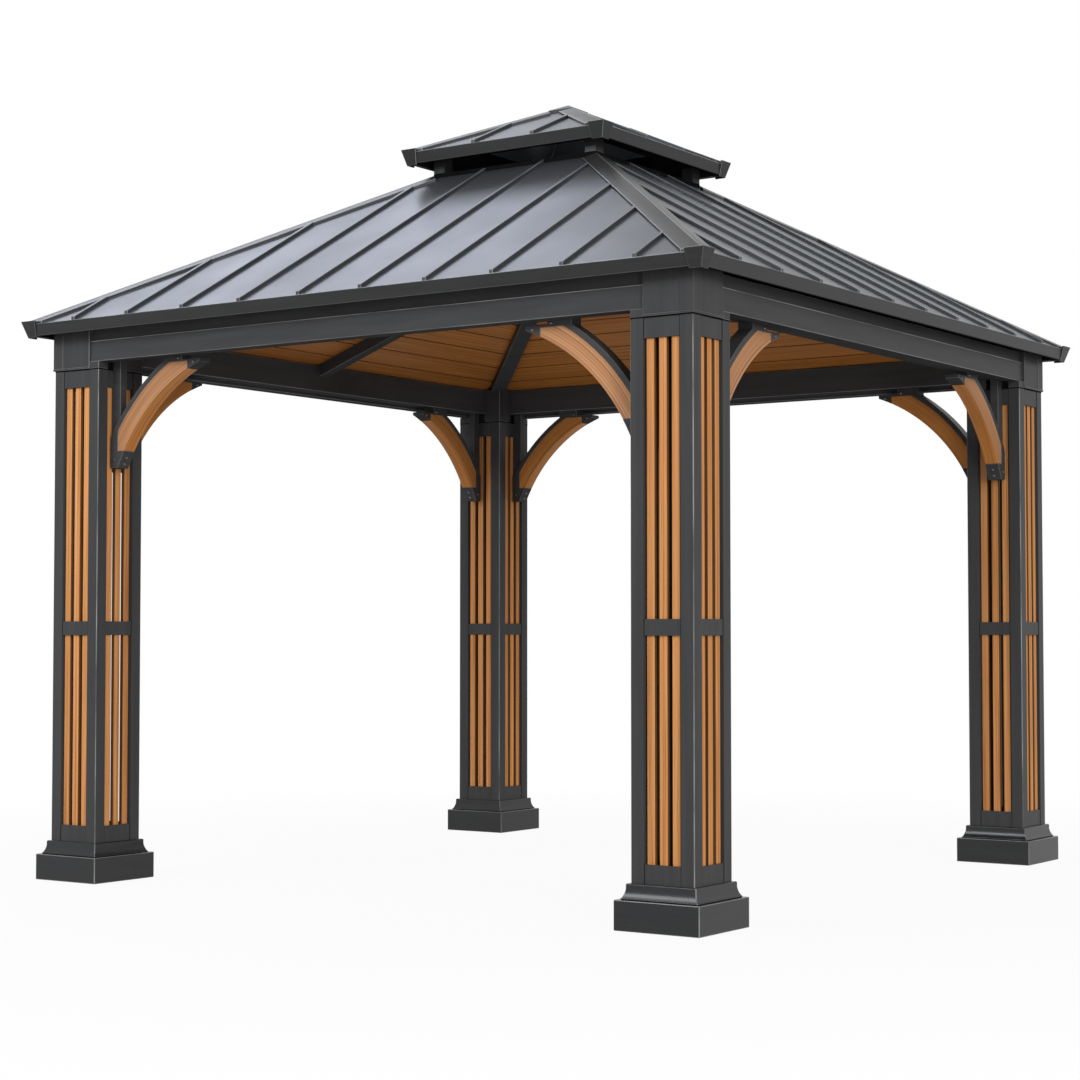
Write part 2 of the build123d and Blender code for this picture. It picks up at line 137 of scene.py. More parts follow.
# Roughness, sheen and bumps of the finishes
satin_shares = (0.28, 0.34)
gloss_shares = (0.21, 0.27)
sheet_rough_shares = (0.30, 0.37)
bolt_rough_shares = (0.25, 0.45)
wood_rough_shares = (0.5, 0.65)
coat_sheen_share = 0.05
fascia_sheen_share = 0.15
footing_sheen_share = 0.30
wear_and_highlight_sheen_share = 0.4
sheet_sheen_share = 0.26
sheet_wear_and_highlight_sheen_share = 0.5
slat_sheen_share = 0.15
brace_sheen_share = 0.2
ceiling_sheen_share = 0.08
bolt_metal_share = 0.9
peel_bump_share = 0.10
peel_height = 0.0004
sheet_peel_bump_share = 0.03
sheet_peel_height = 0.0003
wave_bump_share = 0.05
wave_height = 0.01
grain_bump_share = 0.18
grain_height = 0.0006

# Edges
metal_edge = 0.0030
sheet_edge = 0.0018
slat_edge = 0.0022
board_edge = 0.0035
brace_edge = 0.003
edge_steps = 2
weld_reach = 0.00002
flat_angle = 0.5
smooth_angle = 14.0
sharp_angle = 25.0
corner_reach = 0.003

# Slats
slat_width = 0.0325
slat_thickness = 0.018
slat_recess = 0.010
slat_pitch = 0.052
slats_per_face = 3

# Ceiling boards, measured in plan from the beam inwards
board_pitch = 0.135
board_first = 0.103
board_gap = 0.005
board_rise = 0.01275

# Arched braces
brace_reach = 0.505
brace_drop = 0.450
brace_rise = 0.064
brace_depth = 0.098
brace_strip = 0.022
brace_flange = 0.007
brace_foot = 0.070
brace_tip = 0.066
brace_tip_height = 0.014
brace_pad_height = 0.014
brace_pad_inset = 0.098
brace_bar_width = 0.036
brace_bar_depth = 0.042
brace_fit = 0.0003
brace_steps = 28

# Bolts
bolt_radius = 0.0065
bolt_height = 0.0045
bolt_sides = 12
bolt_rings = 3
shoe_bolt_shares = (0.25, 0.62)

# Bead along the top of each beam's proud lower face, light-coloured as a painted highlight
beam_face_height = 0.088
bead_height = 0.0032
bead_proud = 0.0015
bead_edge = 0.0006

# Plinths: a block, then a mould of rounded toe, cove and rolled lip
plinth_block = 0.108
mould_foot_margin = 0.028
mould_top_margin = 0.014
mould_toe = 0.003
mould_lip = 0.013
mould_lip_round = 0.005
mould_steps = 9

# Painted shadow strips where the stiles and rails of the posts meet; the spans are heights over a post's
# foot
stile_width = 0.054
rail_recess = 0.002
rail_spans = ((0.0, 0.069), (0.871, 0.929), (1.922, 1.999))
shadow_strip_width = 0.0025
shadow_strip_proud = 0.0004
head_shadow_height = 0.005

# Angles round the corner blocks and ledges along their feet
angle_width = 0.054
angle_proud = 0.0025
ledge_height = 0.008
ledge_proud = 0.004
trim_edge = 0.0012

quarter = math.pi / 2
side_turns = {"front": 0, "right": 1, "back": 2, "left": 3}
corner_turns = {"front_right": 0, "back_right": 1, "back_left": 2, "front_left": 3}
draw = random.Random(draw_seed)

post_low, post_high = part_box("front_right_post")
beam_low, beam_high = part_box("front_beam")
ceiling_low, ceiling_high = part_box("front_ceiling")
braces_low, braces_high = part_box("front_braces")
post_centre = (post_low.x + post_high.x) / 2
post_half = (post_high.x - post_low.x) / 2
beam_bottom = beam_low.z


def turned(step):
    """Turn about the centre line by whole quarters."""
    return Matrix.Rotation(step * quarter, 4, "Z")


class Joinery:
    """A mesh of many members that keeps the grain and tone of each point and the painted shade of each
    face.
    """

    def __init__(self):
        self.mesh = bmesh.new()
        self.grain = self.mesh.verts.layers.float_vector.new("grain")
        self.tone = self.mesh.verts.layers.float.new("tone")
        self.shade = self.mesh.faces.layers.float.new("shade")

    def member(self, points, places, faces, painted_shade_faces=(), rims=()):
        """Add a member from its points, their places in the grain and its faces; faces in gaps get painted
        shade, rims take the second material.
        """
        tone = draw.random()
        shift = Vector([draw.uniform(-grain_shift, grain_shift) for axis in "XYZ"])
        made = []
        for point, place in zip(points, places):
            vertex = self.mesh.verts.new(point)
            vertex[self.grain] = Vector(place) + shift
            vertex[self.tone] = tone
            made.append(vertex)
        for number, face in enumerate(faces):
            built = self.mesh.faces.new([made[index] for index in face])
            built[self.shade] = painted_gap_shade_share if number in painted_shade_faces else 1.0
            built.material_index = int(number in rims)

    def board(self, first, second, along, across, turn, painted_shade_faces):
        """Add a straight member between two four-sided ends; the listed sides lie in gaps and get painted
        shade.
        """
        points = [turn @ Vector(point) for point in (*first, *second)]
        run = (turn.to_3x3() @ Vector(along)).normalized()
        width = (turn.to_3x3() @ Vector(across)).normalized()
        depth = run.cross(width)
        places = [(point.dot(run), point.dot(width), point.dot(depth)) for point in points]
        sides = [(i, (i + 1) % 4, (i + 1) % 4 + 4, i + 4) for i in range(4)]
        self.member(points, places, [*sides, (3, 2, 1, 0), (4, 5, 6, 7)], painted_shade_faces)

    def piece(self, name, material, edge):
        """Finish the mesh as an object with rounded edges."""
        bmesh.ops.recalc_face_normals(self.mesh, faces=self.mesh.faces)
        return finished(name, self.mesh, material, edge)


def join_rings(mesh, lower, upper):
    """Add the faces between two rings of as many points."""
    for index in range(len(lower)):
        following = (index + 1) % len(lower)
        mesh.faces.new((lower[index], lower[following], upper[following], upper[index]))


def finished(name, mesh, material, edge, wear_and_highlight=None):
    """Turn a bmesh into an object that rides on the structure, with its edges rounded."""
    data = bpy.data.meshes.new(name)
    mesh.to_mesh(data)
    mesh.free()
    data.materials.append(material)
    made = bpy.data.objects.new(name, data)
    bpy.context.scene.collection.objects.link(made)
    round_edges(made, edge, wear_and_highlight, mark_group)
    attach(made, "root")
    return made


def round_edges(made, edge, wear_and_highlight, marks):
    """Round the marked edges, in a light finish of wear and painted highlight where one is given, and shade
    shallow ones smooth.
    """
    if edge:
        marking = made.modifiers.new("marking", "NODES")
        marking.node_group = marks
        rounding = made.modifiers.new("rounding", "BEVEL")
        rounding.width = edge
        rounding.segments = edge_steps
        rounding.limit_method = "WEIGHT"
        rounding.use_clamp_overlap = True
        if wear_and_highlight:
            made.data.materials.append(wear_and_highlight)
            rounding.material = len(made.data.materials) - 1
    smoothing = made.modifiers.new("smoothing", "NODES")
    smoothing.node_group = smooth_group


def geometry_group(name):
    """New geometry node group with one mesh in and one out."""
    group = bpy.data.node_groups.new(name, "GeometryNodeTree")
    group.interface.new_socket("Geometry", in_out="INPUT", socket_type="NodeSocketGeometry")
    group.interface.new_socket("Geometry", in_out="OUTPUT", socket_type="NodeSocketGeometry")
    source = group.nodes.new("NodeGroupInput")
    result = group.nodes.new("NodeGroupOutput")
    return group, source, result


def make_smooth_group():
    """Shade shallow edges smooth and keep the others sharp."""
    group, source, result = geometry_group("smooth_shallow_edges")
    angle = group.nodes.new("GeometryNodeInputMeshEdgeAngle")
    steep = group.nodes.new("FunctionNodeCompare")
    steep.operation = "GREATER_THAN"
    steep.inputs["B"].default_value = math.radians(smooth_angle)
    faces = group.nodes.new("GeometryNodeSetShadeSmooth")
    edges = group.nodes.new("GeometryNodeSetShadeSmooth")
    edges.domain = "EDGE"
    edges.inputs["Shade Smooth"].default_value = False
    join = group.links.new
    join(source.outputs[0], faces.inputs["Geometry"])
    join(faces.outputs[0], edges.inputs["Geometry"])
    join(angle.outputs["Unsigned Angle"], steep.inputs["A"])
    join(steep.outputs[0], edges.inputs["Selection"])
    join(edges.outputs[0], result.inputs[0])
    return group


def make_mark_group():
    """Mark the sharp outer edges, which are the ones to round."""
    group, source, result = geometry_group("mark_outer_edges")
    angle = group.nodes.new("GeometryNodeInputMeshEdgeAngle")
    outer = group.nodes.new("FunctionNodeCompare")
    outer.operation = "GREATER_THAN"
    outer.inputs["B"].default_value = math.radians(sharp_angle)
    mark = group.nodes.new("GeometryNodeStoreNamedAttribute")
    mark.data_type = "FLOAT"
    mark.domain = "EDGE"
    mark.inputs["Name"].default_value = "bevel_weight_edge"
    join = group.links.new
    join(angle.outputs["Signed Angle"], outer.inputs["A"])
    join(source.outputs[0], mark.inputs["Geometry"])
    join(outer.outputs[0], mark.inputs["Value"])
    join(mark.outputs[0], result.inputs[0])
    return group


def folded(group, source, distance):
    """How far the size of a coordinate goes beyond a distance."""
    size = group.nodes.new("ShaderNodeMath")
    size.operation = "ABSOLUTE"
    beyond = group.nodes.new("ShaderNodeMath")
    beyond.operation = "SUBTRACT"
    beyond.inputs[1].default_value = distance
    group.links.new(source, size.inputs[0])
    group.links.new(size.outputs[0], beyond.inputs[0])
    return beyond.outputs[0]


def make_corner_group():
    """Mark only the outer corners of the posts to round."""
    group, source, result = geometry_group("mark_post_corners")
    place = group.nodes.new("GeometryNodeInputPosition")
    parts = group.nodes.new("ShaderNodeSeparateXYZ")
    both = group.nodes.new("ShaderNodeMath")
    both.operation = "MULTIPLY"
    mark = group.nodes.new("GeometryNodeStoreNamedAttribute")
    mark.data_type = "FLOAT"
    mark.domain = "EDGE"
    mark.inputs["Name"].default_value = "bevel_weight_edge"
    join = group.links.new
    join(place.outputs[0], parts.inputs["Vector"])
    for number, axis in enumerate("XY"):
        from_face = folded(group, folded(group, parts.outputs[axis], post_centre), post_half)
        near = group.nodes.new("ShaderNodeMath")
        near.operation = "COMPARE"
        near.inputs[1].default_value = 0.0
        near.inputs[2].default_value = corner_reach
        join(from_face, near.inputs[0])
        join(near.outputs[0], both.inputs[number])
    join(source.outputs[0], mark.inputs["Geometry"])
    join(both.outputs[0], mark.inputs["Value"])
    join(mark.outputs[0], result.inputs[0])
    return group


def make_weld_group():
    """Join the faces of an imported solid at their edges."""
    group, source, result = geometry_group("weld_faces")
    plain = group.nodes.new("GeometryNodeRemoveAttribute")
    plain.inputs["Name"].default_value = "custom_normal"
    weld = group.nodes.new("GeometryNodeMergeByDistance")
    weld.inputs["Distance"].default_value = weld_reach
    join = group.links.new
    join(source.outputs[0], plain.inputs["Geometry"])
    join(plain.outputs[0], weld.inputs["Geometry"])
    join(weld.outputs[0], result.inputs[0])
    return group


def dress(node, material, edge, wear_and_highlight=None, marks=None):
    """Give a solid of the frame its finish and rounded edges, with light wear and painted highlight on them
    where a finish for that is given.
    """
    for place in node.material_slots:
        place.material = material
    welding = node.modifiers.new("welding", "NODES")
    welding.node_group = weld_group
    flat = node.modifiers.new("flat", "DECIMATE")
    flat.decimate_type = "DISSOLVE"
    flat.angle_limit = math.radians(flat_angle)
    round_edges(node, edge, wear_and_highlight, marks or mark_group)


# Materials

def new_material(name):
    """New material with one shader; returns it with its nodes."""
    made = bpy.data.materials.new(name)
    made.use_nodes = True
    tree = made.node_tree
    return made, tree, tree.nodes["Principled BSDF"]


def stretched_noise(tree, source, stretch, detail, distortion=0.0):
    """Noise over coordinates that are scaled differently along each axis."""
    mapping = tree.nodes.new("ShaderNodeMapping")
    mapping.inputs["Scale"].default_value = stretch
    noise = tree.nodes.new("ShaderNodeTexNoise")
    noise.inputs["Scale"].default_value = 1.0
    noise.inputs["Detail"].default_value = detail
    noise.inputs["Distortion"].default_value = distortion
    tree.links.new(source, mapping.inputs["Vector"])
    tree.links.new(mapping.outputs["Vector"], noise.inputs["Vector"])
    return noise.outputs["Fac"]


def colour_ramp(tree, source, stops):
    """Colours at places between 0 and 1."""
    ramp = tree.nodes.new("ShaderNodeValToRGB")
    ramp.color_ramp.elements[0].position, ramp.color_ramp.elements[0].color = stops[0]
    ramp.color_ramp.elements[1].position, ramp.color_ramp.elements[1].color = stops[-1]
    for place, colour in stops[1:-1]:
        ramp.color_ramp.elements.new(place).color = colour
    tree.links.new(source, ramp.inputs["Fac"])
    return ramp.outputs["Color"]


def ranged(tree, source, low, high, span=noise_shares):
    """Map a span of a value, such as the middle of a noise, to a range."""
    spread = tree.nodes.new("ShaderNodeMapRange")
    spread.inputs["From Min"].default_value = span[0]
    spread.inputs["From Max"].default_value = span[1]
    spread.inputs["To Min"].default_value = low
    spread.inputs["To Max"].default_value = high
    tree.links.new(source, spread.inputs["Value"])
    return spread.outputs["Result"]


def bumped(tree, source, strength, distance, before=None):
    """Bump from a height, on top of an earlier bump."""
    bump = tree.nodes.new("ShaderNodeBump")
    bump.inputs["Strength"].default_value = strength
    bump.inputs["Distance"].default_value = distance
    tree.links.new(source, bump.inputs["Height"])
    if before:
        tree.links.new(before, bump.inputs["Normal"])
    return bump.outputs["Normal"]


def object_place(tree):
    """Coordinates in the frame of the object."""
    return tree.nodes.new("ShaderNodeTexCoord").outputs["Object"]


def face_tilt(tree):
    """1 on faces that look up, 0 on those that stand upright and -1 on undersides."""
    facing_way = tree.nodes.new("ShaderNodeNewGeometry")
    parts = tree.nodes.new("ShaderNodeSeparateXYZ")
    tree.links.new(facing_way.outputs["Normal"], parts.inputs["Vector"])
    return parts.outputs["Z"]


def upright_share(tree):
    """1 on faces that stand upright, down to 0 on those that lean well back or over."""
    lean = tree.nodes.new("ShaderNodeMath")
    lean.operation = "ABSOLUTE"
    tree.links.new(face_tilt(tree), lean.inputs[0])
    return ranged(tree, lean.outputs[0], 1.0, 0.0, upright_shares)


def powder_coat(name, stretch, tones, sheen, roughness=satin_shares, level_colour=None):
    """Streaked coat with a fine peel and no sheen on undersides, a painted shade; leaning faces may take
    their own colour, used for wear and painted highlight on edges.
    """
    made, tree, shader = new_material(name)
    place = object_place(tree)
    streaks = stretched_noise(tree, place, stretch, streak_detail)
    colour = colour_ramp(tree, streaks, tuple(zip(streak_shares, tones)))
    if level_colour:
        blend = tree.nodes.new("ShaderNodeMix")
        blend.data_type = "RGBA"
        blend.inputs["A"].default_value = level_colour
        tree.links.new(upright_share(tree), blend.inputs["Factor"])
        tree.links.new(colour, blend.inputs["B"])
        colour = blend.outputs["Result"]
    tree.links.new(colour, shader.inputs["Base Color"])
    tree.links.new(ranged(tree, streaks, *roughness), shader.inputs["Roughness"])
    # Sheen fades out on undersides: painted shade
    sheen_shaded_underneath = ranged(tree, face_tilt(tree), 0.0, sheen, underside_sheen_shade_shares)
    tree.links.new(sheen_shaded_underneath, shader.inputs["Specular IOR Level"])
    peel = stretched_noise(tree, place, coat_peel, peel_detail)
    tree.links.new(bumped(tree, peel, peel_bump_share, peel_height), shader.inputs["Normal"])
    return made


def roof_sheet(name):
    """Coated roofing sheet: a fainter peel than the frame's, and slow waves in its pans."""
    made, tree, shader = new_material(name)
    place = object_place(tree)
    patches = stretched_noise(tree, place, sheet_patches, patch_detail)
    colour = colour_ramp(tree, patches, tuple(zip(noise_shares, sheet_tones)))
    tree.links.new(colour, shader.inputs["Base Color"])
    tree.links.new(ranged(tree, patches, *sheet_rough_shares), shader.inputs["Roughness"])
    shader.inputs["Specular IOR Level"].default_value = sheet_sheen_share
    shader.inputs["Specular Tint"].default_value = sheet_tint
    waves = stretched_noise(tree, place, sheet_waves, wave_detail)
    peel = stretched_noise(tree, place, coat_peel, peel_detail)
    slow = bumped(tree, waves, wave_bump_share, wave_height)
    both = bumped(tree, peel, sheet_peel_bump_share, sheet_peel_height, slow)
    tree.links.new(both, shader.inputs["Normal"])
    return made


def bare_bolt(name):
    """Plated steel, a little dull."""
    made, tree, shader = new_material(name)
    wear = stretched_noise(tree, object_place(tree), bolt_wear, wear_detail)
    shader.inputs["Base Color"].default_value = bolt_colour
    shader.inputs["Metallic"].default_value = bolt_metal_share
    tree.links.new(ranged(tree, wear, *bolt_rough_shares), shader.inputs["Roughness"])
    return made


def stained_wood(name, tones, sheen, stretch):
    """Stained timber, with fine streaks along the grain, a tone for each member and painted shade on faces
    in gaps.
    """
    made, tree, shader = new_material(name)
    grain = tree.nodes.new("ShaderNodeAttribute")
    grain.attribute_name = "grain"
    tone = tree.nodes.new("ShaderNodeAttribute")
    tone.attribute_name = "tone"
    # The shade attribute darkens faces in gaps: painted shade
    gap_painted_shade = tree.nodes.new("ShaderNodeAttribute")
    gap_painted_shade.attribute_name = "shade"
    broad = stretched_noise(tree, grain.outputs["Vector"], stretch, grain_detail, grain_distortion)
    fine = stretched_noise(tree, grain.outputs["Vector"], fine_grain, fine_detail)
    join = tree.nodes.new("ShaderNodeMix")
    join.data_type = "FLOAT"
    join.inputs["Factor"].default_value = fine_share
    tree.links.new(broad, join.inputs["A"])
    tree.links.new(fine, join.inputs["B"])
    colour = colour_ramp(tree, join.outputs["Result"], tuple(zip(grain_shares, tones)))
    shade = tree.nodes.new("ShaderNodeHueSaturation")
    tree.links.new(colour, shade.inputs["Color"])
    level = ranged(tree, tone.outputs["Fac"], *tone_shares, unit_shares)
    product = tree.nodes.new("ShaderNodeMath")
    product.operation = "MULTIPLY"
    tree.links.new(level, product.inputs[0])
    tree.links.new(gap_painted_shade.outputs["Fac"], product.inputs[1])
    tree.links.new(product.outputs[0], shade.inputs["Value"])
    tree.links.new(shade.outputs["Color"], shader.inputs["Base Color"])
    tree.links.new(ranged(tree, fine, *wood_rough_shares), shader.inputs["Roughness"])
    shader.inputs["Specular IOR Level"].default_value = sheen
    tree.links.new(bumped(tree, fine, grain_bump_share, grain_height), shader.inputs["Normal"])
    return made


smooth_group = make_smooth_group()
mark_group = make_mark_group()
corner_group = make_corner_group()
weld_group = make_weld_group()
upright_coat = powder_coat("charcoal_coat_upright", upright_streaks, coat_tones, coat_sheen_share)
level_coat = powder_coat("charcoal_coat_level", level_streaks, coat_tones, coat_sheen_share)
fascia_shaded_coat = powder_coat("charcoal_coat_fascia_shaded", level_streaks, fascia_shaded_tones, fascia_sheen_share)
footing_shaded_coat = powder_coat(
    "charcoal_coat_footing_shaded", level_streaks, footing_shaded_tones, footing_sheen_share, gloss_shares)
wear_and_highlight_coat = powder_coat(
    "charcoal_coat_wear_and_highlight", wear_and_highlight_patches, wear_and_highlight_tones, wear_and_highlight_sheen_share, satin_shares, level_wear_and_highlight)
sheet_wear_and_highlight = powder_coat(
    "roof_sheet_wear_and_highlight", sheet_wear_and_highlight_patches, sheet_wear_and_highlight_tones, sheet_wear_and_highlight_sheen_share)
painted_shade_coat = powder_coat("charcoal_coat_painted_shade", painted_shade_patches, painted_shade_tones, 0.0)
sheet_coat = roof_sheet("roof_sheet_coat")
bolt_steel = bare_bolt("bolt_steel")
slat_wood = stained_wood("stained_wood", slat_tones, slat_sheen_share, wide_grain)
outer_cheek_sheen_wood = stained_wood("stained_outer_cheek_sheen_wood", outer_cheek_sheen_tones, brace_sheen_share, close_grain)
rim_shaded_wood = stained_wood("stained_rim_shaded_wood", rim_shaded_tones, brace_sheen_share, close_grain)
ceiling_shaded_wood = stained_wood("stained_ceiling_shaded_wood", ceiling_shaded_tones, ceiling_sheen_share, wide_grain)


# Slats of the posts

def slat_bar(joinery, x, y, half_x, half_y, turn, face):
    """One upright slat that ends behind the rails; its open face counts front, right, back, left from 0,
    and its other faces get painted shade.
    """
    ring = ((-half_x, -half_y), (half_x, -half_y), (half_x, half_y), (-half_x, half_y))
    foot = [(x + dx, y + dy, post_low.z) for dx, dy in ring]
    head = [(x + dx, y + dy, post_high.z) for dx, dy in ring]
    joinery.board(foot, head, (0, 0, 1), (1, 0, 0), turn, {0, 1, 2, 3} - {face})


def post_slats(corner, step):
    """The slats on a post's four faces."""
    joinery = Joinery()
    face = post_half - slat_recess - slat_thickness / 2
    half_width = slat_width / 2
    half_depth = slat_thickness / 2
    for number in range(slats_per_face):
        offset = (number - (slats_per_face - 1) / 2) * slat_pitch
        for side in (-1, 1):
            slat_bar(joinery, post_centre + offset, -post_centre + side * face,
                     half_width, half_depth, turned(step), 1 + side)
            slat_bar(joinery, post_centre + side * face, -post_centre + offset,
                     half_depth, half_width, turned(step), 2 - side)
    made = joinery.piece(f"{corner}_slat_bars", slat_wood, slat_edge)
    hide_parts(f"{corner}_post_slats")


# Ceiling boards

ceiling_reach = -ceiling_low.y
ceiling_inner = -ceiling_high.y
ceiling_cut = ceiling_reach - ceiling_high.x
ceiling_slope = (ceiling_high.z - ceiling_low.z - board_rise) / (ceiling_reach - ceiling_inner)


def ceiling_end(reach, side):
    """The two corners of a board's edge at one end, lower then upper."""
    level = ceiling_low.z + ceiling_slope * (ceiling_reach - reach)
    across = side * (reach - ceiling_cut)
    return (across, -reach, level), (across, -reach, level + board_rise)


def ceiling_boards(name, step):
    """Boards of one ceiling slope, level along the eave and mitred at the hip rafters."""
    joinery = Joinery()
    outer = ceiling_reach
    inner = ceiling_reach - board_first
    uphill = (0, 1, ceiling_slope)
    # Board edges in the grooves get painted shade
    painted_shade_sides = {1, 3}
    while outer > ceiling_inner:
        inner = max(inner, ceiling_inner)
        ends = []
        for side in (-1, 1):
            low_outer, high_outer = ceiling_end(outer, side)
            low_inner, high_inner = ceiling_end(inner, side)
            ends.append((low_outer, low_inner, high_inner, high_outer))
        joinery.board(ends[0], ends[1], (1, 0, 0), uphill, turned(step), painted_shade_sides)
        outer = inner - board_gap
        inner -= board_pitch
    made = joinery.piece(f"{name}_ceiling_boards", ceiling_shaded_wood, board_edge)
    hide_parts(f"{name}_ceiling")


# Braces: arched webs; x runs from the post along the beam, and z up from the beam's underside

brace_head = brace_pad_height + brace_tip_height
arch_run = brace_reach - brace_bar_depth
arch_height = brace_drop - brace_head
chord = math.hypot(arch_run, arch_height)
arch_radius = chord**2 / (8 * brace_rise) + brace_rise / 2
arc_shift = (arch_radius - brace_rise) / chord
arc_x = brace_bar_depth + arch_run / 2 + arch_height * arc_shift
arc_z = -brace_head - arch_height / 2 - arch_run * arc_shift
back_radius = arch_radius + brace_depth - brace_strip - brace_fit
web_left = brace_bar_depth + brace_fit
web_right = brace_reach - brace_tip - brace_fit
web_low = brace_foot - brace_drop + brace_fit
web_high = -brace_pad_height - brace_flange - brace_fit
brace_near = -braces_low.y
brace_far = -braces_high.y


def arc_angle_at(radius, x=None, z=None):
    """Angle on an arch arc at a given x, or at a given height."""
    if x is not None:
        return math.pi - math.acos((arc_x - x) / radius)
    return math.pi - math.asin((z - arc_z) / radius)


def arc_points(radius, start, stop):
    """Points along an arch arc, from the foot to the head."""
    angles = [start + (stop - start) * step / brace_steps for step in range(brace_steps + 1)]
    return [(arc_x + radius * math.cos(angle), arc_z + radius * math.sin(angle)) for angle in angles]


def brace_outline():
    """Under and back arcs of a web, each from its foot to its head."""
    under_foot = arc_angle_at(arch_radius, z=web_low)
    under_head = arc_angle_at(arch_radius, x=web_right)
    back_foot = arc_angle_at(back_radius, x=web_left)
    back_head = arc_angle_at(back_radius, z=web_high)
    under = arc_points(arch_radius, under_foot, under_head)
    back = arc_points(back_radius, back_foot, back_head)
    return under, back


def brace_web(joinery, hand, turn):
    """One arched web; hand is the end of the beam that it stands at."""
    under, back = brace_outline()
    foot_corner = (web_left, web_low)
    head_corner = (web_right, web_high)
    outline = [foot_corner, *under, head_corner, *back[::-1]]
    count = len(outline)
    last = count - 1
    points = []
    places = []
    for depth in (brace_near, brace_far):
        for x, z in outline:
            points.append(turn @ Vector((hand * (post_low.x - x), -depth, beam_bottom + z)))
            swing = math.atan2(z - arc_z, arc_x - x)
            radial = math.hypot(z - arc_z, arc_x - x)
            places.append((swing * arch_radius, radial, depth))
    head = brace_steps + 2
    cheek = [(0, 1, last), (head - 1, head, head + 1)]
    for step in range(brace_steps):
        inner = 1 + step
        outer = last - step
        cheek.append((inner, inner + 1, outer - 1, outer))
    rims = [tuple(index + count for index in reversed(face)) for face in cheek]
    for index in range(count):
        following = (index + 1) % count
        rims.append((index, following, following + count, index + count))
    joinery.member(points, places, [*cheek, *rims], rims=range(len(cheek), len(cheek) + len(rims)))


def braces(name, step):
    """The two braces under one beam."""
    joinery = Joinery()
    for hand in (-1, 1):
        brace_web(joinery, hand, turned(step))
    # The outer cheek takes the painted-sheen wood, the rims and inner cheek the painted-shade wood
    made = joinery.piece(f"{name}_brace_webs", outer_cheek_sheen_wood, brace_edge)
    made.data.materials.append(rim_shaded_wood)
    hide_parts(f"{name}_braces")


# Bolts of the braces

def domed_head(mesh, place):
    """A low domed bolt head whose axis is the local Z of its place."""
    rings = []
    for ring in range(bolt_rings):
        swing = ring / bolt_rings * quarter
        radius = bolt_radius * math.cos(swing)
        level = bolt_height * math.sin(swing)
        turns = [2 * math.pi * side / bolt_sides for side in range(bolt_sides)]
        rings.append([
            mesh.verts.new(place @ Vector((radius * math.cos(turn), radius * math.sin(turn), level)))
            for turn in turns
        ])
    for lower, upper in zip(rings, rings[1:]):
        join_rings(mesh, lower, upper)
    crown = mesh.verts.new(place @ Vector((0, 0, bolt_height)))
    for side in range(bolt_sides):
        mesh.faces.new((rings[-1][side], rings[-1][(side + 1) % bolt_sides], crown))
    mesh.faces.new(rings[0][::-1])


def facing(point, direction):
    """Place of a bolt: its seat and the way it points."""
    return Matrix.Translation(point) @ Vector(direction).to_track_quat("Z", "Y").to_matrix().to_4x4()


def brace_bolts():
    """Bolts on the outer and inner cheek of each brace's pad, tip and foot, and two under its foot."""
    mesh = bmesh.new()
    pad_x = brace_reach - brace_pad_inset - brace_bar_width / 2
    tip_x = brace_reach - brace_tip / 2
    tip_z = -brace_pad_height - brace_flange - bolt_radius
    foot_x = brace_bar_depth / 2
    foot_z = brace_foot / 2 - brace_drop
    cheeks = ((pad_x, -brace_pad_height / 2), (tip_x, tip_z), (foot_x, foot_z))
    middle = (brace_near + brace_far) / 2
    for step in range(len(side_turns)):
        for hand in (-1, 1):
            for depth, way in ((brace_near, -1), (brace_far, 1)):
                for x, z in cheeks:
                    seat = Vector((hand * (post_low.x - x), -depth, beam_bottom + z))
                    domed_head(mesh, turned(step) @ facing(seat, (0, way, 0)))
            for share in shoe_bolt_shares:
                swing = arc_angle_at(arch_radius, z=share * brace_foot - brace_drop)
                x = arc_x + arch_radius * math.cos(swing)
                z = arc_z + arch_radius * math.sin(swing)
                seat = Vector((hand * (post_low.x - x), -middle, beam_bottom + z))
                inwards = (hand * math.cos(swing), 0, -math.sin(swing))
                domed_head(mesh, turned(step) @ facing(seat, inwards))
    made = finished("brace_bolts", mesh, bolt_steel, 0)


# Trims of the corner blocks

def prism(mesh, outline, bottom, top, turn):
    """Add an upright prism over an outline in plan."""
    low_ring = [mesh.verts.new(turn @ Vector((x, y, bottom))) for x, y in outline]
    high_ring = [mesh.verts.new(turn @ Vector((x, y, top))) for x, y in outline]
    mesh.faces.new(low_ring[::-1])
    mesh.faces.new(high_ring)
    join_rings(mesh, low_ring, high_ring)


def angle_outline(face, width, proud):
    """Plan of an angle round the outer edge of the front right block."""
    return (
        (face - width, -face),
        (face - width, -face - proud),
        (face + proud, -face - proud),
        (face + proud, width - face),
        (face, width - face),
        (face, -face),
    )


def block_trims():
    """An angle up the outer edge of each corner block and a ledge along its foot."""
    mesh = bmesh.new()
    block_low, block_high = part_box("front_right_corner_block")
    fascia_low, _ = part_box("eave_fascia")
    face = block_high.x
    block_width = face - beam_high.x
    for step in range(len(corner_turns)):
        prism(mesh, angle_outline(face, angle_width, angle_proud),
              block_low.z + ledge_height, fascia_low.z, turned(step))
        prism(mesh, angle_outline(face, block_width, ledge_proud),
              block_low.z, block_low.z + ledge_height, turned(step))
    made = finished("block_trims", mesh, upright_coat, trim_edge, wear_and_highlight_coat)


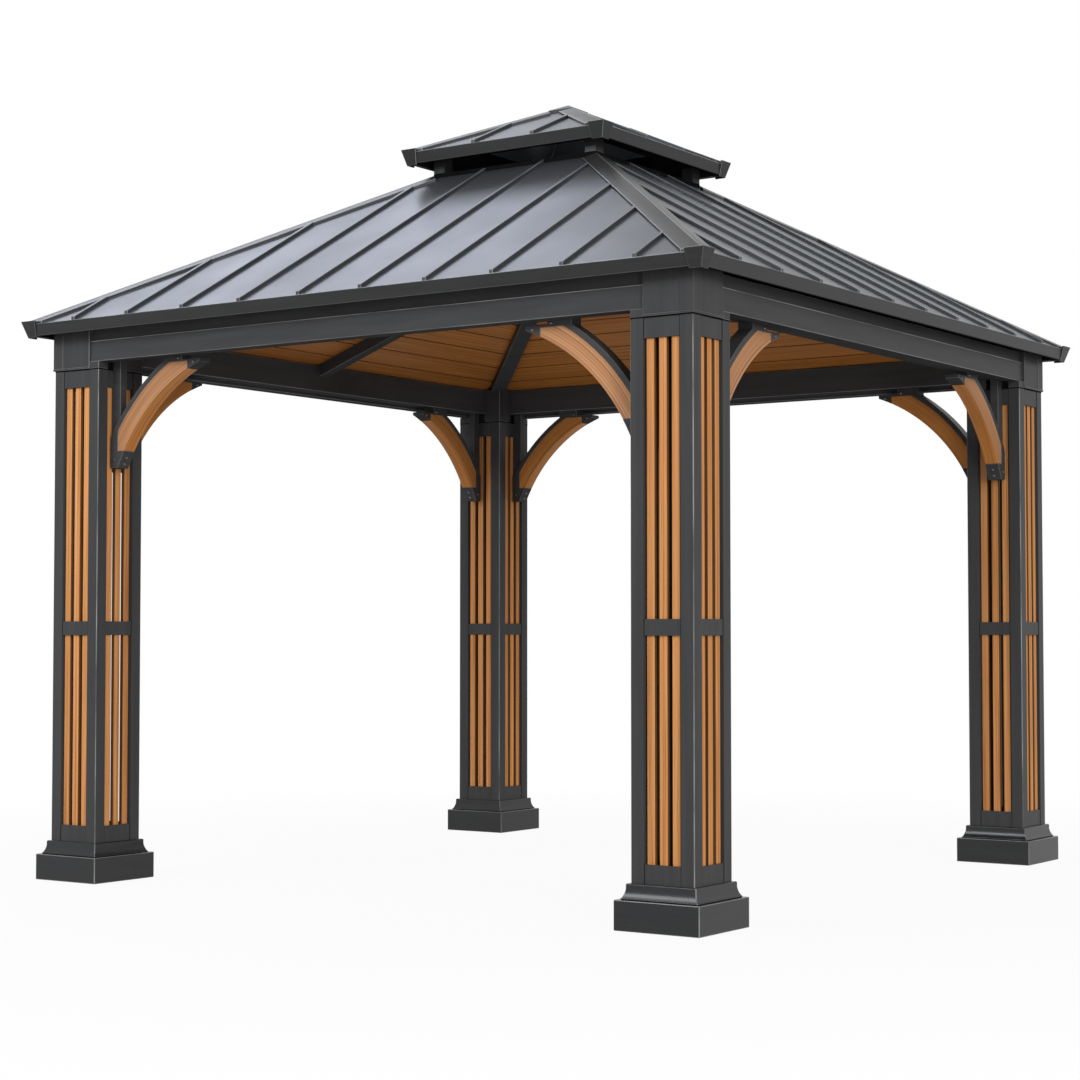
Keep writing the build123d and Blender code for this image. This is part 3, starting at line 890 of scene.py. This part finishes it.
def beam_highlight_beads():
    """A thin bead along the step of each beam, light-coloured as a painted highlight on the step."""
    mesh = bmesh.new()
    outline = (
        (beam_low.x, beam_low.y - bead_proud),
        (beam_high.x, beam_low.y - bead_proud),
        (beam_high.x, beam_low.y + bead_proud),
        (beam_low.x, beam_low.y + bead_proud),
    )
    top = beam_bottom + beam_face_height
    for step in range(len(side_turns)):
        prism(mesh, outline, top - bead_height, top, turned(step))
    made = finished("beam_highlight_beads", mesh, wear_and_highlight_coat, bead_edge)


# Plinths

plinth_low, plinth_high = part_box("front_right_plinth")
plinth_half = (plinth_high.x - plinth_low.x) / 2


def plinth_profile():
    """Half-width and height of a plinth's outline, from the ground up."""
    foot = post_half + mould_foot_margin
    head = post_half + mould_top_margin
    swings = [quarter * number / mould_steps for number in range(mould_steps + 1)]
    profile = [(plinth_half, 0.0), (plinth_half, plinth_block)]
    for swing in swings:
        toe_swing = 2 * swing - quarter
        profile.append((
            foot + mould_toe * (math.cos(toe_swing) - 1),
            plinth_block + mould_toe * (math.sin(toe_swing) + 1),
        ))
    cove_foot, cove_low = profile[-1]
    cove_high = plinth_high.z - mould_lip
    for number in range(1, mould_steps + 1):
        left = 1 - number / mould_steps
        profile.append((head + (cove_foot - head) * left**2, cove_high + (cove_low - cove_high) * left))
    for swing in swings:
        profile.append((
            head + mould_lip_round * (math.cos(swing) - 1),
            plinth_high.z + mould_lip_round * (math.sin(swing) - 1),
        ))
    return profile


def plinth(corner, step):
    """A square block with its mould, mitred at the corners."""
    mesh = bmesh.new()
    rings = []
    for half, level in plinth_profile():
        corners = ((-half, -half), (half, -half), (half, half), (-half, half))
        rings.append([
            mesh.verts.new(turned(step) @ Vector((post_centre + x, y - post_centre, level)))
            for x, y in corners
        ])
    mesh.faces.new(rings[0][::-1])
    mesh.faces.new(rings[-1])
    for lower, upper in zip(rings, rings[1:]):
        join_rings(mesh, lower, upper)
    made = finished(f"{corner}_plinth_mould", mesh, footing_shaded_coat, metal_edge, wear_and_highlight_coat)
    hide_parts(f"{corner}_plinth")


# Painted shadow strips on the posts

def shadow_strip_outline(left, right, face):
    """Plan of a thin strip of painted shadow between two places along a post's face."""
    return (
        (left, -face - shadow_strip_proud),
        (right, -face - shadow_strip_proud),
        (right, shadow_strip_width - face),
        (left, shadow_strip_width - face),
    )


def post_shadow_strips():
    """Near-black strips of painted shadow where the rails of each post meet its stiles, and where its head
    meets the block.
    """
    mesh = bmesh.new()
    face = post_half - rail_recess
    offset = post_half - stile_width
    for corner_step in range(len(corner_turns)):
        place = turned(corner_step) @ Matrix.Translation((post_centre, -post_centre, post_low.z))
        for side_step in range(len(side_turns)):
            for hand in (-1, 1):
                near = hand * offset
                far = hand * (offset - shadow_strip_width)
                outline = shadow_strip_outline(min(near, far), max(near, far), face)
                for bottom, top in rail_spans:
                    prism(mesh, outline, bottom, top, place @ turned(side_step))
            head_shadow = shadow_strip_outline(-post_half, post_half, post_half)
            head = post_high.z - post_low.z
            prism(mesh, head_shadow, head - head_shadow_height, head, place @ turned(side_step))
    made = finished("post_shadow_strips", mesh, painted_shade_coat, 0)


# Dressing

for corner, step in corner_turns.items():
    post_slats(corner, step)
    plinth(corner, step)
for side, step in side_turns.items():
    ceiling_boards(side, step)
    braces(side, step)
brace_bolts()
block_trims()
beam_highlight_beads()
post_shadow_strips()

sheet_words = ("roof",)
cap_words = ("hip_caps", "apex_cap")
post_words = ("right_post", "left_post")
upright_words = ("post", "block")
# The cupola well and plate are made near-black as painted shade
painted_shade_words = ("cupola_well", "cupola_plate")
fascia_words = ("fascia", "corner_caps")
shaded_words = ("cupola_posts",)
replaced_words = ("slats", "ceiling", "braces", "plinth")
for name, node in nodes.items():
    if name.endswith(replaced_words):
        continue
    if name.endswith(sheet_words):
        dress(node, sheet_coat, sheet_edge, sheet_wear_and_highlight)
    elif name.endswith(cap_words):
        dress(node, fascia_shaded_coat, sheet_edge, sheet_wear_and_highlight)
    elif name.endswith(post_words):
        dress(node, upright_coat, metal_edge, wear_and_highlight_coat, corner_group)
    elif name.endswith(upright_words):
        dress(node, upright_coat, metal_edge, wear_and_highlight_coat)
    elif name.endswith(fascia_words):
        dress(node, fascia_shaded_coat, metal_edge, wear_and_highlight_coat)
    elif name.endswith(shaded_words):
        dress(node, fascia_shaded_coat, metal_edge)
    elif name.endswith(painted_shade_words):
        dress(node, painted_shade_coat, 0)
    else:
        dress(node, level_coat, metal_edge, wear_and_highlight_coat)


# Stage

def seen_directly(tree):
    """1 for rays that the camera, a reflection or glass sends straight here, else 0."""
    path = tree.nodes.new("ShaderNodeLightPath")
    total = path.outputs["Is Camera Ray"]
    for name in ("Is Glossy Ray", "Is Transmission Ray"):
        either = tree.nodes.new("ShaderNodeMath")
        either.operation = "MAXIMUM"
        tree.links.new(total, either.inputs[0])
        tree.links.new(path.outputs[name], either.inputs[1])
        total = either.outputs[0]
    return total


def make_world():
    """White where it is seen, an even soft light elsewhere."""
    world = bpy.data.worlds.new("studio")
    bpy.context.scene.world = world
    world.use_nodes = True
    tree = world.node_tree
    tree.nodes.clear()
    light = tree.nodes.new("ShaderNodeBackground")
    light.inputs["Color"].default_value = sky_tint
    light.inputs["Strength"].default_value = sky_level
    seen = tree.nodes.new("ShaderNodeBackground")
    seen.inputs["Color"].default_value = white
    mix = tree.nodes.new("ShaderNodeMixShader")
    result = tree.nodes.new("ShaderNodeOutputWorld")
    tree.links.new(seen_directly(tree), mix.inputs["Fac"])
    tree.links.new(light.outputs[0], mix.inputs[1])
    tree.links.new(seen.outputs[0], mix.inputs[2])
    tree.links.new(mix.outputs[0], result.inputs["Surface"])


def make_floor():
    """Pale floor that keeps a faint shadow and goes white further out."""
    data = bpy.data.meshes.new("studio_floor")
    half = floor_size / 2
    corners = [(-half, -half, 0), (half, -half, 0), (half, half, 0), (-half, half, 0)]
    data.from_pydata(corners, [], [(0, 1, 2, 3)])
    floor = bpy.data.objects.new("studio_floor", data)
    bpy.context.scene.collection.objects.link(floor)
    made = bpy.data.materials.new("studio_floor")
    made.use_nodes = True
    tree = made.node_tree
    tree.nodes.clear()
    matt = tree.nodes.new("ShaderNodeBsdfDiffuse")
    matt.inputs["Color"].default_value = floor_colour
    glow = tree.nodes.new("ShaderNodeEmission")
    glow.inputs["Color"].default_value = white
    distance = tree.nodes.new("ShaderNodeVectorMath")
    distance.operation = "LENGTH"
    fade = tree.nodes.new("ShaderNodeMapRange")
    fade.interpolation_type = "SMOOTHSTEP"
    fade.inputs["From Min"].default_value = floor_near
    fade.inputs["From Max"].default_value = floor_far
    fade.inputs["To Min"].default_value = floor_share
    tree.links.new(object_place(tree), distance.inputs[0])
    tree.links.new(distance.outputs["Value"], fade.inputs["Value"])
    share = tree.nodes.new("ShaderNodeMath")
    share.operation = "MULTIPLY"
    tree.links.new(fade.outputs["Result"], share.inputs[1])
    mix = tree.nodes.new("ShaderNodeMixShader")
    result = tree.nodes.new("ShaderNodeOutputMaterial")
    tree.links.new(seen_directly(tree), share.inputs[0])
    tree.links.new(share.outputs[0], mix.inputs["Fac"])
    tree.links.new(matt.outputs[0], mix.inputs[1])
    tree.links.new(glow.outputs[0], mix.inputs[2])
    tree.links.new(mix.outputs[0], result.inputs["Surface"])
    data.materials.append(made)


def make_sun():
    """Low soft light from the right, a little in front."""
    data = bpy.data.lights.new("soft_sun", "SUN")
    data.energy = sun_level
    data.angle = math.radians(sun_softness)
    sun = bpy.data.objects.new("soft_sun", data)
    sun.rotation_euler = (math.radians(sun_tilt), 0, math.radians(sun_turn))
    bpy.context.scene.collection.objects.link(sun)


def make_softbox(name, place, target, size, level, tint):
    """Soft rectangle of light that faces a target and shows in reflections."""
    data = bpy.data.lights.new(name, "AREA")
    data.shape = "RECTANGLE"
    data.size, data.size_y = size
    data.energy = level
    data.color = tint
    box = bpy.data.objects.new(name, data)
    box.location = place
    box.rotation_euler = (Vector(place) - Vector(target)).to_track_quat("Z", "Y").to_euler()
    box.visible_camera = False
    bpy.context.scene.collection.objects.link(box)


def make_camera():
    """Camera at the photograph's viewpoint."""
    data = bpy.data.cameras.new("camera")
    data.lens = camera_lens
    data.sensor_width = camera_sensor
    camera = bpy.data.objects.new("camera", data)
    camera.location = camera_place
    camera.rotation_euler = (math.radians(camera_tilt), 0, math.radians(camera_turn))
    bpy.context.scene.collection.objects.link(camera)
    bpy.context.scene.camera = camera


make_world()
make_floor()
make_sun()
for box_name, box in softboxes.items():
    make_softbox(box_name, *box)
make_camera()
bpy.context.scene.view_settings.view_transform = "Standard"
